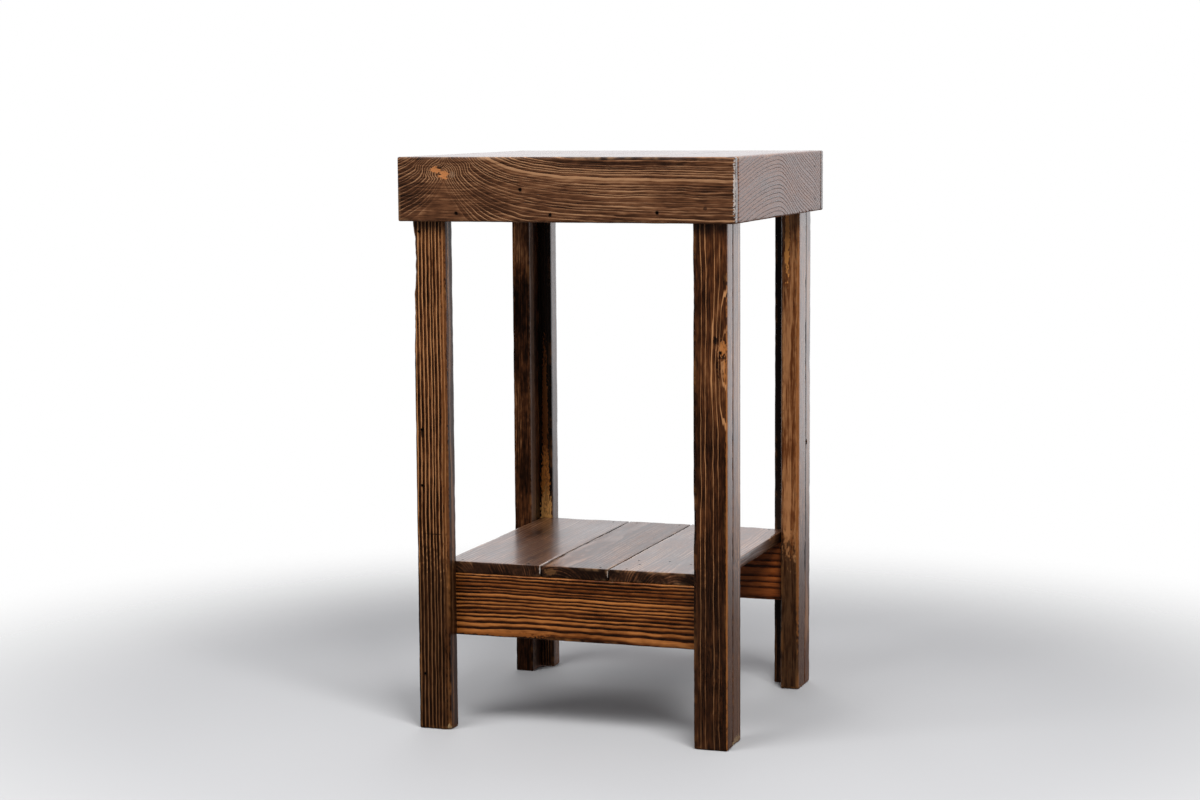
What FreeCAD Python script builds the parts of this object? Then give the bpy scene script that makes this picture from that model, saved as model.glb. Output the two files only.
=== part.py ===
import FreeCAD, Part
import os
import Sketcher

# End table with a low shelf, nailed up from softwood boards.
# Millimetres, +Z up, the front towards -Y, the origin on the floor under the middle.

doc = FreeCAD.newDocument("EndTable")

# Driving dimensions

sizes = {
    "table_width": 381,
    "table_depth": 381,
    "table_height": 635,
    "apron_height": 70,
    "apron_thick": 12,
    "leg_face_width": 38,
    "leg_side_width": 31,
    "leg_strip_thick": 22,
    "top_plank_thick": 13,
    "top_left_width": 92,
    "top_mid_left_width": 84,
    "top_mid_right_width": 90,
    "top_plank_gap": 1,
    "top_side_gap": 0.5,
    "cleat_thick": 22,
    "cleat_height": 22,
    "cleat_end_gap": 0.5,
    "shelf_height": 187,
    "shelf_plank_thick": 13,
    "shelf_left_width": 112,
    "shelf_middle_width": 77,
    "shelf_plank_gap": 1.5,
    "shelf_side_gap": 2.5,
    "rail_height": 70,
    "rail_thick": 19,
    "rail_end_gap": 1,
    "apron_ease": 1.5,
    "leg_ease": 2,
    "plank_ease": 1.5,
    "rail_ease": 1.5,
    "cleat_ease": 1,
    "nail_radius": 0.8,
    "nail_head_radius": 1.4,
    "nail_head_thick": 1,
    "nail_set_depth": 0.8,
    "screw_radius": 2,
    "screw_head_radius": 3.6,
    "screw_crown_radius": 2.4,
    "screw_head_height": 2.2,
    "cut_overrun": 2,
}

sheet = doc.addObject("Spreadsheet::Sheet", "Sizes")
for row, (name, value) in enumerate(sizes.items(), start=1):
    sheet.set(f"A{row}", name)
    sheet.set(f"B{row}", str(value))
    sheet.setAlias(f"B{row}", name)
doc.recompute()

# Where the fasteners stand, as shares of the piece that carries them

apron_nail_height_shares = (0.25, 0.92)
front_apron_nail_share = 0.54
side_apron_nail_share = 0.21
leg_nail_inset_share = 0.35
left_leg_nail_height_shares = (0.1, 0.44, 0.54, 0.89)
right_leg_nail_height_shares = (0.12, 0.4, 0.69, 0.88)
plank_nail_width_shares = (0.15, 0.85)
top_nail_depth_share = 0.75
rail_nail_depth_share = 0.5
rail_screw_height_shares = (0.28, 0.6)
cleat_screw_length_shares = (0.1, 0.5, 0.9)
cleat_screw_drop_share = 0.7
strip_bite_share = 0.6
side_strip_bite_share = 0.6
cleat_bite_share = 0.45
rail_bite_share = 0.25
rail_thick_bite_share = 0.7
apron_bite_share = 0.6

# Places that several pieces share, each as an expression on the sheet

half_width = "(Sizes.table_width / 2)"
half_depth = "(Sizes.table_depth / 2)"
leg_outer_x = f"({half_width} - Sizes.apron_thick)"
leg_outer_y = f"({half_depth} - Sizes.apron_thick)"
bay_x = f"({leg_outer_x} - Sizes.leg_strip_thick)"
bay_y = f"({leg_outer_y} - Sizes.leg_strip_thick)"
apron_bottom = "(Sizes.table_height - Sizes.apron_height)"
leg_top = "(Sizes.table_height - Sizes.top_plank_thick)"
rail_top = "(Sizes.shelf_height - Sizes.shelf_plank_thick)"
rail_bottom = f"({rail_top} - Sizes.rail_height)"
rail_half = f"({bay_x} - Sizes.rail_end_gap)"
cleat_half = f"({leg_outer_x} - Sizes.leg_face_width - Sizes.cleat_end_gap)"

# Directions

to_right = FreeCAD.Vector(1, 0, 0)
to_left = FreeCAD.Vector(-1, 0, 0)
to_back = FreeCAD.Vector(0, 1, 0)
to_front = FreeCAD.Vector(0, -1, 0)
upward = FreeCAD.Vector(0, 0, 1)
downward = FreeCAD.Vector(0, 0, -1)


def place(piece, point):
    for axis, place_text in zip("xyz", point):
        piece.setExpression(f"Placement.Base.{axis}", place_text)


def moved(point, way, distance):
    return [f"{text} + {step:g} * ({distance})" for text, step in zip(point, way)]


def negative(text):
    return f"(-1 * {text})"


# Boards

def outline(sketch, length_x, length_y):
    corners = [FreeCAD.Vector(x, y, 0) for x, y in ((0, 0), (1, 0), (1, 1), (0, 1))]
    for start, end in zip(corners, corners[1:] + corners[:1]):
        sketch.addGeometry(Part.LineSegment(start, end), False)
    constrain = Sketcher.Constraint
    for line in range(4):
        sketch.addConstraint(constrain("Coincident", line, 2, (line + 1) % 4, 1))
    for line in (0, 2):
        sketch.addConstraint(constrain("Horizontal", line))
    for line in (1, 3):
        sketch.addConstraint(constrain("Vertical", line))
    sketch.addConstraint(constrain("Coincident", 0, 1, -1, 1))
    spans = (("run", 0, "DistanceX", length_x), ("breadth", 1, "DistanceY", length_y))
    for name, line, kind, text in spans:
        index = sketch.addConstraint(constrain(kind, line, 1, line, 2, 1))
        sketch.renameConstraint(index, name)
        sketch.setExpression(f"Constraints.{name}", text)


def board(label, size, corner, ease, drills):
    blank = doc.addObject("PartDesign::Body", f"{label}_blank")
    plane = [item for item in blank.Origin.OriginFeatures if item.Role == "XY_Plane"][0]
    sketch = blank.newObject("Sketcher::SketchObject", f"{label}_section")
    sketch.AttachmentSupport = (plane, [""])
    sketch.MapMode = "FlatFace"
    outline(sketch, size[0], size[1])
    pad = blank.newObject("PartDesign::Pad", f"{label}_pad")
    pad.Profile = sketch
    pad.setExpression("Length", size[2])
    doc.recompute()
    eased = blank.newObject("PartDesign::Fillet", f"{label}_eased")
    eased.Base = (pad, [""])
    eased.UseAllEdges = True
    eased.setExpression("Radius", f"Sizes.{ease}")
    blank.Tip = eased
    place(blank, corner)
    holes = doc.addObject("Part::Compound", f"{label}_holes")
    holes.Links = [group["drills"] for group in drills]
    piece = doc.addObject("Part::Cut", label)
    piece.Label = label
    piece.Base = blank
    piece.Tool = holes
    return piece


# Fasteners

def rod(name, radius, length, start, way):
    piece = doc.addObject("Part::Cylinder", name)
    piece.setExpression("Radius", radius)
    piece.setExpression("Height", length)
    piece.Placement = FreeCAD.Placement(FreeCAD.Vector(), FreeCAD.Rotation(upward, way))
    place(piece, start)
    return piece


def nail(name, point, way, length):
    top = moved(point, way, "Sizes.nail_set_depth")
    outside = moved(point, way * -1, "Sizes.cut_overrun")
    mouth_length = "Sizes.cut_overrun + Sizes.nail_set_depth + Sizes.nail_head_thick"
    shank = rod(f"{name}_shank", "Sizes.nail_radius", f"{length} - Sizes.nail_set_depth", top, way)
    head = rod(f"{name}_head", "Sizes.nail_head_radius", "Sizes.nail_head_thick", top, way)
    mouth = rod(f"{name}_mouth", "Sizes.nail_head_radius", mouth_length, outside, way)
    return [shank, head], [shank, mouth]


def screw(name, point, way, length):
    inside_head = moved(point, way * -1, "Sizes.screw_head_height / 2")
    shank_length = f"{length} + Sizes.screw_head_height / 2"
    shank = rod(f"{name}_shank", "Sizes.screw_radius", shank_length, inside_head, way)
    head = doc.addObject("Part::Cone", f"{name}_head")
    head.setExpression("Radius1", "Sizes.screw_head_radius")
    head.setExpression("Radius2", "Sizes.screw_crown_radius")
    head.setExpression("Height", "Sizes.screw_head_height")
    head.Placement = FreeCAD.Placement(FreeCAD.Vector(), FreeCAD.Rotation(upward, way * -1))
    place(head, point)
    return [shank, head], [shank]


def fasteners(label, kind, places):
    solids = []
    holes = []
    for number, (point, way, length) in enumerate(places, start=1):
        made, drilled = kind(f"{label}_{number}", point, way, length)
        solids += made
        holes += drilled
    group = doc.addObject("Part::MultiFuse", label)
    group.Label = label
    group.Shapes = solids
    drills = doc.addObject("Part::MultiFuse", f"{label}_drills")
    drills.Shapes = holes
    return {"piece": group, "drills": drills}


# The four corners: each has an X side, a Y side and its own nail heights

corners = {}
for depth_name, side_y in (("front", -1), ("back", 1)):
    for width_name, side_x in (("left", -1), ("right", 1)):
        corners[f"{depth_name}_{width_name}"] = (side_x, side_y)


def signed(side, text):
    return f"({side} * ({text}))"


# Nails through the apron into the legs

apron_nail_places = []
for side_x, side_y in corners.values():
    inward_x = to_left if side_x > 0 else to_right
    inward_y = to_front if side_y > 0 else to_back
    through = f"(Sizes.apron_thick + {strip_bite_share} * Sizes.leg_strip_thick)"
    face_x = signed(side_x, f"{leg_outer_x} - {front_apron_nail_share} * Sizes.leg_face_width")
    side_y_place = signed(side_y, f"{bay_y} - {side_apron_nail_share} * Sizes.leg_side_width")
    for share in apron_nail_height_shares:
        height = f"({apron_bottom} + {share} * ({leg_top} - {apron_bottom}))"
        apron_nail_places.append(((face_x, signed(side_y, half_depth), height), inward_y, through))
        apron_nail_places.append(((signed(side_x, half_width), side_y_place, height), inward_x, through))
apron_nails = fasteners("apron_nails", nail, apron_nail_places)

# Nails through each leg's face strip into the edge of its side strip

leg_nail_places = []
for side_x, side_y in corners.values():
    inward_y = to_front if side_y > 0 else to_back
    through = f"(Sizes.leg_strip_thick + {side_strip_bite_share} * Sizes.leg_side_width)"
    strip_x = signed(side_x, f"{leg_outer_x} - {leg_nail_inset_share} * Sizes.leg_strip_thick")
    shares = right_leg_nail_height_shares if side_x > 0 else left_leg_nail_height_shares
    for share in shares:
        point = (strip_x, signed(side_y, leg_outer_y), f"({share} * {leg_top})")
        leg_nail_places.append((point, inward_y, through))
leg_nails = fasteners("leg_nails", nail, leg_nail_places)

# Planks: the last of each row takes the width that is left

def plank_row(names, widths, gap, half_room):
    row = []
    start = negative(half_room)
    for name, width in zip(names, widths):
        row.append((name, start, width))
        start = f"({start} + {width} + {gap})"
    row.append((names[-1], start, f"({half_room} - {start})"))
    return row


top_half_x = f"({leg_outer_x} - Sizes.top_side_gap)"
top_half_y = f"({leg_outer_y} - Sizes.top_side_gap)"
top_row = plank_row(
    ("top_plank_left", "top_plank_mid_left", "top_plank_mid_right", "top_plank_right"),
    ("Sizes.top_left_width", "Sizes.top_mid_left_width", "Sizes.top_mid_right_width"),
    "Sizes.top_plank_gap",
    top_half_x,
)
shelf_half_x = f"({bay_x} - Sizes.shelf_side_gap)"
shelf_row = plank_row(
    ("shelf_plank_left", "shelf_plank_middle", "shelf_plank_right"),
    ("Sizes.shelf_left_width", "Sizes.shelf_middle_width"),
    "Sizes.shelf_plank_gap",
    shelf_half_x,
)


def plank_nail_places(row, surface, half_run, length):
    places = []
    for name, start, width in row:
        for share in plank_nail_width_shares:
            for side_y in (-1, 1):
                point = (f"({start} + {share} * {width})", signed(side_y, half_run), surface)
                places.append((point, downward, length))
    return places


top_nails = fasteners("top_nails", nail, plank_nail_places(
    top_row,
    "Sizes.table_height",
    f"{leg_outer_y} - {top_nail_depth_share} * Sizes.cleat_thick",
    f"(Sizes.top_plank_thick + {cleat_bite_share} * Sizes.cleat_height)",
))
shelf_nails = fasteners("shelf_nails", nail, plank_nail_places(
    shelf_row,
    "Sizes.shelf_height",
    f"{bay_y} - {rail_nail_depth_share} * Sizes.rail_thick",
    f"(Sizes.shelf_plank_thick + {rail_bite_share} * Sizes.rail_height)",
))

# Screws where the front doesn't show them: out of the front rail into its legs, from behind the back
# legs into the back rail, and out of the cleats into the apron

rail_screw_places = []
for side_x, side_y in corners.values():
    lap_start = f"({leg_outer_x} - Sizes.leg_face_width)"
    lap_x = signed(side_x, f"({lap_start} + {rail_half}) / 2")
    head_y = f"(-1 * ({bay_y} - Sizes.rail_thick))"
    through = f"(Sizes.rail_thick + {strip_bite_share} * Sizes.leg_strip_thick)"
    if side_y > 0:
        head_y = leg_outer_y
        through = f"(Sizes.leg_strip_thick + {rail_thick_bite_share} * Sizes.rail_thick)"
    for share in rail_screw_height_shares:
        point = (lap_x, head_y, f"({rail_bottom} + {share} * Sizes.rail_height)")
        rail_screw_places.append((point, to_front, through))
rail_screws = fasteners("rail_screws", screw, rail_screw_places)

cleat_screw_places = []
for side_y, outward_y in ((-1, to_front), (1, to_back)):
    cleat_face = signed(side_y, f"{leg_outer_y} - Sizes.cleat_thick")
    through = f"(Sizes.cleat_thick + {apron_bite_share} * Sizes.apron_thick)"
    height = f"({leg_top} - {cleat_screw_drop_share} * Sizes.cleat_height)"
    for share in cleat_screw_length_shares:
        point = (f"(-1 * {cleat_half} + {share} * 2 * {cleat_half})", cleat_face, height)
        cleat_screw_places.append((point, outward_y, through))
cleat_screws = fasteners("cleat_screws", screw, cleat_screw_places)

fastener_groups = (apron_nails, leg_nails, top_nails, shelf_nails, rail_screws, cleat_screws)
pieces = [group["piece"] for group in fastener_groups]

# Apron: the front and back boards cover the ends of the side boards

cross_board = ("Sizes.table_width", "Sizes.apron_thick", "Sizes.apron_height")
side_board = ("Sizes.apron_thick", f"2 * {leg_outer_y}", "Sizes.apron_height")
for label, size, corner, drills in (
    ("apron_front", cross_board, (negative(half_width), negative(half_depth)), (apron_nails, cleat_screws)),
    ("apron_back", cross_board, (negative(half_width), leg_outer_y), (apron_nails, cleat_screws)),
    ("apron_left", side_board, (negative(half_width), negative(leg_outer_y)), (apron_nails,)),
    ("apron_right", side_board, (leg_outer_x, negative(leg_outer_y)), (apron_nails,)),
):
    pieces.append(board(label, size, corner + (apron_bottom,), "apron_ease", drills))

# Legs: a face strip to the front or back, and a side strip behind it

face_size = ("Sizes.leg_face_width", "Sizes.leg_strip_thick", leg_top)
side_size = ("Sizes.leg_strip_thick", "Sizes.leg_side_width", leg_top)
for corner_name, (side_x, side_y) in corners.items():
    face_x = f"{leg_outer_x} - Sizes.leg_face_width" if side_x > 0 else negative(leg_outer_x)
    face_y = bay_y if side_y > 0 else negative(leg_outer_y)
    strip_x = bay_x if side_x > 0 else negative(leg_outer_x)
    strip_y = f"{bay_y} - Sizes.leg_side_width" if side_y > 0 else negative(bay_y)
    face_drills = (apron_nails, leg_nails, top_nails, rail_screws)
    side_drills = (apron_nails, leg_nails, top_nails)
    face_foot = (face_x, face_y, "0")
    side_foot = (strip_x, strip_y, "0")
    pieces.append(board(f"{corner_name}_leg_face", face_size, face_foot, "leg_ease", face_drills))
    pieces.append(board(f"{corner_name}_leg_side", side_size, side_foot, "leg_ease", side_drills))

# Rails in the inner corners of the legs, and the shelf planks on them

rail_size = (f"2 * {rail_half}", "Sizes.rail_thick", "Sizes.rail_height")
back_rail_y = f"{bay_y} - Sizes.rail_thick"
for label, rail_y in (("shelf_rail_front", negative(bay_y)), ("shelf_rail_back", back_rail_y)):
    corner = (negative(rail_half), rail_y, rail_bottom)
    pieces.append(board(label, rail_size, corner, "rail_ease", (rail_screws, shelf_nails)))
for label, start, width in shelf_row:
    size = (width, f"2 * {bay_y}", "Sizes.shelf_plank_thick")
    pieces.append(board(label, size, (start, negative(bay_y), rail_top), "plank_ease", (shelf_nails,)))

# Cleats between the legs, and the top planks on the cleats and the leg ends

cleat_size = (f"2 * {cleat_half}", "Sizes.cleat_thick", "Sizes.cleat_height")
cleat_bottom = f"{leg_top} - Sizes.cleat_height"
back_cleat_y = f"{leg_outer_y} - Sizes.cleat_thick"
for label, cleat_y in (("top_cleat_front", negative(leg_outer_y)), ("top_cleat_back", back_cleat_y)):
    corner = (negative(cleat_half), cleat_y, cleat_bottom)
    pieces.append(board(label, cleat_size, corner, "cleat_ease", (cleat_screws, top_nails)))
for label, start, width in top_row:
    size = (width, f"2 * {top_half_y}", "Sizes.top_plank_thick")
    pieces.append(board(label, size, (start, negative(top_half_y), leg_top), "plank_ease", (top_nails,)))

# Check, then write one file for each piece

doc.recompute()
for item in doc.Objects:
    if "Invalid" in item.State or "Error" in item.State:
        raise RuntimeError(f"{item.Label} failed: {item.State}")
for piece in pieces:
    if piece.Shape.isNull() or not piece.Shape.isValid():
        raise RuntimeError(f"{piece.Label} has no valid shape")
os.makedirs("parts", exist_ok=True)
for piece in pieces:
    piece.Shape.exportStep(f"parts/{piece.Label}.step")
    print(piece.Label, len(piece.Shape.Solids), round(piece.Shape.Volume, 1))
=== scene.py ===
import bmesh
import bpy
import math
from mathutils import Matrix, Vector, noise


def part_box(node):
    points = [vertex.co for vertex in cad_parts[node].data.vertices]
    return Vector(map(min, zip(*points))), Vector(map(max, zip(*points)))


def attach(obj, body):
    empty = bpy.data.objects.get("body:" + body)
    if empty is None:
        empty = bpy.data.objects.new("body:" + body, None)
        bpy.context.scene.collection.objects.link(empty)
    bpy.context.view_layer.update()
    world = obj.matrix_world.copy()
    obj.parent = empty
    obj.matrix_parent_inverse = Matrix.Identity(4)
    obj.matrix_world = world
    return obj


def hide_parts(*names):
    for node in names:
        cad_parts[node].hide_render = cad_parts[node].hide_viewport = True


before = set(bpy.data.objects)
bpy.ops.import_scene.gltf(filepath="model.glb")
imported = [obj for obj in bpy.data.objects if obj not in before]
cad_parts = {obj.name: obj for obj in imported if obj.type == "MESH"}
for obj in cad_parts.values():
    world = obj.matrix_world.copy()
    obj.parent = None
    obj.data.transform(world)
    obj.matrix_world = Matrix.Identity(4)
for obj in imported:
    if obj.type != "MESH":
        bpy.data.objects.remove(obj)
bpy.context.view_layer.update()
scene = bpy.context.scene
mm = 0.001
axisNumber = {"x": 0, "y": 1, "z": 2}
print("frame loaded:", len(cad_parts), "nodes")

# Camera

view = {
    "place": (0.9059, -2.7126, 0.6853),
    "yaw": 0.33043,
    "pitch": 0.11524,      # looking down
    "roll": -0.00649,
    "lens": 75.475,
    "sensor": 36,
}


def makeCamera():
    data = bpy.data.cameras.new("camera")
    data.lens = view["lens"]
    data.sensor_width = view["sensor"]
    camera = bpy.data.objects.new("camera", data)
    scene.collection.objects.link(camera)
    turn = Matrix.Rotation(view["yaw"], 4, "Z")
    tip = Matrix.Rotation(math.pi / 2 - view["pitch"], 4, "X")
    roll = Matrix.Rotation(view["roll"], 4, "Z")
    camera.matrix_world = Matrix.Translation(view["place"]) @ turn @ tip @ roll
    scene.camera = camera


makeCamera()
scene.view_settings.view_transform = "Standard"
print("camera placed")

# Small helpers for the node trees

noiseSteps = (7.31, 3.77, 1.93)   # how a noise moves on from seed to seed


def tint(red, green, blue):  # a colour off a paint chart, 0 to 255, made linear
    parts = [part / 255 for part in (red, green, blue)]
    return tuple(p / 12.92 if p <= 0.04045 else ((p + 0.055) / 1.055) ** 2.4 for p in parts) + (1,)


def addNode(tree, kind, **settings):
    node = tree.nodes.new("ShaderNode" + kind)
    for name, value in settings.items():
        setattr(node, name, value)
    return node


def feed(tree, socket, value):
    if isinstance(value, bpy.types.NodeSocket):
        tree.links.new(value, socket)
    else:
        socket.default_value = value


def feedAll(tree, node, values):
    for socket, value in zip(node.inputs, values):
        feed(tree, socket, value)


def calc(tree, operation, *values):
    node = addNode(tree, "Math", operation=operation)
    feedAll(tree, node, values)
    return node.outputs[0]


def vectorCalc(tree, operation, *values):
    node = addNode(tree, "VectorMath", operation=operation)
    feedAll(tree, node, values)
    return node.outputs["Value" if operation in ("LENGTH", "DISTANCE") else "Vector"]


def softStep(tree, value, start, end, low=0.0, high=1.0):
    node = addNode(tree, "MapRange", interpolation_type="SMOOTHSTEP")
    feedAll(tree, node, (value, start, end, low, high))
    return node.outputs[0]


def mixColour(tree, share, first, second):
    node = addNode(tree, "Mix", data_type="RGBA")
    for number, value in ((0, share), (6, first), (7, second)):   # the sockets for colours
        feed(tree, node.inputs[number], value)
    return node.outputs[2]


def mixShader(tree, share, first, second):
    node = addNode(tree, "MixShader")
    feedAll(tree, node, (share, first, second))
    return node.outputs[0]


def colourRamp(tree, value, stops):
    node = addNode(tree, "ValToRGB")
    points = node.color_ramp.elements
    for point, (at, colour) in ((points[0], stops[0]), (points[1], stops[-1])):
        point.position = at
        point.color = colour
    for at, colour in stops[1:-1]:
        points.new(at).color = colour
    feed(tree, node.inputs[0], value)
    return node.outputs[0]


def split(tree, vector):
    node = addNode(tree, "SeparateXYZ")
    feed(tree, node.inputs[0], vector)
    return list(node.outputs)


def join(tree, *parts):
    node = addNode(tree, "CombineXYZ")
    feedAll(tree, node, parts)
    return node.outputs[0]


def grainNoise(tree, local, perMm, seed, detail, output="Fac"):
    place = addNode(tree, "Mapping")
    feed(tree, place.inputs["Vector"], local)
    feed(tree, place.inputs["Location"], [seed * step for step in noiseSteps])
    feed(tree, place.inputs["Scale"], perMm)
    texture = addNode(tree, "TexNoise")
    feed(tree, texture.inputs["Vector"], place.outputs[0])
    feed(tree, texture.inputs["Scale"], 1.0)
    feed(tree, texture.inputs["Detail"], detail)
    return texture.outputs[output]


# Floor, world and lamps

studio = {
    "floorRadius": 1.3,
    "floorSegments": 96,
    "floorFade": (0.5, 1.15),              # metres from the table, where the floor thins out to white
    "floorColour": (0.66, 0.66, 0.67, 1),
    "floorBounce": (0.24, 0.22, 0.21, 1),  # what it throws back up
    "floorRoughness": 0.9,
    "floorSpecular": 0.1,
    "white": (1, 1, 1, 1),                 # what the camera sees behind everything
    "ambient": (0.93, 0.95, 1.0, 1),
    "ambientStrength": 0.24,
    "roomBehind": (1.0, 0.98, 1.0, 1),     # what the varnish mirrors
    "roomInFront": (0.022, 0.018, 0.016, 1),
    "roomTurn": (-0.25, 0.45),             # how far back the one changes into the other
    "roomAbove": (0.3, 0.29, 0.28, 1),     # over the camera, where the wall in front gets lighter
    "roomRise": (0.1, 0.4),
    "roomFloor": (0.15, 0.09, 0.07, 1),
    "roomBelow": (-0.21, -0.11),           # how far down the mirrored wall fades into a dim floor
    "keyPlace": (0.95, -1.25, 2.0),
    "keySize": 0.9,
    "keyPower": 38,
    "fillPlace": (-0.9, -1.55, 1.9),
    "fillSize": 1.2,
    "fillPower": 23,
    "backPlace": (-0.5, 2.1, 1.7),
    "backSize": 1.6,
    "backPower": 18,
    "aim": (0, 0, 0.5),
}


def makeFloor():
    bm = bmesh.new()
    bmesh.ops.create_circle(bm, cap_ends=True, segments=studio["floorSegments"],
                            radius=studio["floorRadius"])
    mesh = bpy.data.meshes.new("floor")
    bm.to_mesh(mesh)
    bm.free()
    floor = bpy.data.objects.new("floor", mesh)
    scene.collection.objects.link(floor)
    material = bpy.data.materials.new("pale_floor")
    material.use_nodes = True
    tree = material.node_tree
    shader = tree.nodes["Principled BSDF"]
    bounced = addNode(tree, "LightPath").outputs["Is Diffuse Ray"]
    colour = mixColour(tree, bounced, studio["floorColour"], studio["floorBounce"])
    feed(tree, shader.inputs["Base Color"], colour)
    shader.inputs["Roughness"].default_value = studio["floorRoughness"]
    shader.inputs["Specular IOR Level"].default_value = studio["floorSpecular"]
    where = addNode(tree, "TexCoord").outputs["Object"]
    faded = softStep(tree, vectorCalc(tree, "LENGTH", where), *studio["floorFade"])
    clear = addNode(tree, "BsdfTransparent").outputs[0]
    blend = mixShader(tree, faded, shader.outputs[0], clear)
    feed(tree, tree.nodes["Material Output"].inputs[0], blend)
    mesh.materials.append(material)
    floor.visible_glossy = False


def makeWorld():
    world = bpy.data.worlds.new("studio")
    scene.world = world
    world.use_nodes = True
    tree = world.node_tree
    rays = addNode(tree, "LightPath").outputs
    soft = tree.nodes["Background"]
    feed(tree, soft.inputs[0], studio["ambient"])
    feed(tree, soft.inputs[1], studio["ambientStrength"])
    white = addNode(tree, "Background")
    feed(tree, white.inputs[0], studio["white"])
    mirrored = addNode(tree, "Background")
    _, back, up = split(tree, addNode(tree, "TexCoord").outputs["Generated"])
    wall = softStep(tree, up, *studio["roomBelow"])
    behind = mixColour(tree, wall, studio["roomFloor"], studio["roomBehind"])
    above = softStep(tree, up, *studio["roomRise"])
    inFront = mixColour(tree, above, studio["roomInFront"], studio["roomAbove"])
    share = softStep(tree, back, *studio["roomTurn"])
    feed(tree, mirrored.inputs[0], mixColour(tree, share, inFront, behind))
    shiny = calc(tree, "MAXIMUM", rays["Is Glossy Ray"], rays["Is Transmission Ray"])
    lit = mixShader(tree, shiny, soft.outputs[0], mirrored.outputs[0])
    shown = mixShader(tree, rays["Is Camera Ray"], lit, white.outputs[0])
    feed(tree, tree.nodes["World Output"].inputs[0], shown)


def makeLamp(name):
    data = bpy.data.lights.new(name, "AREA")
    data.size = studio[name + "Size"]
    data.energy = studio[name + "Power"]
    lamp = bpy.data.objects.new(name, data)
    place = Vector(studio[name + "Place"])
    turn = (place - Vector(studio["aim"])).to_track_quat("Z", "Y").to_matrix().to_4x4()
    lamp.matrix_world = Matrix.Translation(place) @ turn
    lamp.visible_camera = False
    lamp.visible_glossy = False
    scene.collection.objects.link(lamp)


makeFloor()
makeWorld()
makeLamp("key")
makeLamp("fill")
makeLamp("back")
print("floor, world and lamps made")

# Stained softwood: dark early wood between lighter late wood lines, under a worn varnish

brownStain = {
    "deep": tint(30, 16, 9),
    "dark": tint(66, 39, 23),
    "mid": tint(108, 69, 44),
    "light": tint(170, 126, 90),
    "worn": tint(172, 130, 92),
}
orangeStain = {
    "deep": tint(24, 9, 2),
    "dark": tint(62, 28, 8),
    "mid": tint(120, 64, 24),
    "light": tint(200, 126, 64),
    "worn": tint(176, 114, 60),
}
redStain = {
    "deep": tint(26, 8, 3),
    "dark": tint(56, 23, 8),
    "mid": tint(122, 58, 20),
    "light": tint(186, 102, 46),
    "worn": tint(150, 90, 48),
}
umberStain = {
    "deep": tint(18, 7, 2),
    "dark": tint(52, 26, 11),
    "mid": tint(96, 54, 26),
    "light": tint(186, 132, 86),
    "worn": tint(158, 104, 56),
}
plumStain = {
    "deep": tint(30, 14, 9),
    "dark": tint(67, 36, 23),
    "mid": tint(111, 64, 44),
    "light": tint(171, 119, 87),
    "worn": tint(172, 130, 92),
}
# near black round nail holes: painted shade in a hole's mouth and a ring of dark stain round it
holeShadeAndStain = tint(12, 8, 6)

varnish = {
    "specular": 0.2,
    "coatIor": 1.7,
    "roughness": 0.42,     # of the wood under the coat
    "lineGloss": -0.1,     # what late wood, blotches and fibres add to it
    "blotchGloss": 0.25,
    "fibreGloss": 0.2,
    "fibreHeight": 0.12,   # mm, for the bump
}

grainPatterns = {          # per mm along and across the grain, step on from the board's seed, detail
    "sway": (0.006, 0.02, 0, 1.0),
    "ripple": (0.045, 0.11, 3, 1.0),
    "fade": (0.012, 0.05, 5, 2.0),
    "ragged": (0.22, 0.45, 7, 4.0),
    "fibre": (0.035, 1.1, 9, 3.0),
    "blotch": (0.012, 0.035, 11, 3.0),
    "mottle": (0.09, 0.3, 13, 4.0),
    "swirl": (0.06, 0.16, 15, 0.5),
}

grainLook = {
    "strongest": 1.15,          # tone of the clearest ring line
    "fadeRange": (0.36, 0.6),   # part of the fade pattern over which lines come and go
    "unevenScale": 0.09,        # changes of ring width, per mm out from the heart
    "unevenStep": 5.3,          # how they move on from board to board
    "plainHeart": (8.0, 28.0),  # mm from the heart over which a one-sided board's lines begin
    "plainLines": 0.08,         # how much of them is left before that
    "heartBlend": 8.0,          # mm
    "swirl": 6.0,               # mm, how uneven a knot's outline is
    "knotRim": (1.5, 0.9),      # of a knot's size, where its own lines begin and where they are full
    "raggedSwing": 2.4,         # how far a spot's outline swings in and out
    "facing": (0.6, 0.9),       # how squarely a face looks along an axis, to be an end or a side
    "calmDepth": 40,            # mm
    "calmEdge": 0.6,            # softness of the outlines
    "stainAndShadeSpotEdge": 0.8,
    "patchEdge": 0.25,
    "calmLoss": 0.85,
    "stainStops": (0.0, 0.24, 0.5, 0.95),   # tones of the deep, dark, mid and light stain
    "wornShare": 0.8,
    "holeReach": (1.3, 2.8),    # mm, where the dark round a nail hole, painted shade in its mouth and a stain ring round it, thins out and ends
    "holeRagged": 1.2,          # mm
    "holeShare": 0.9,
}

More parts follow.
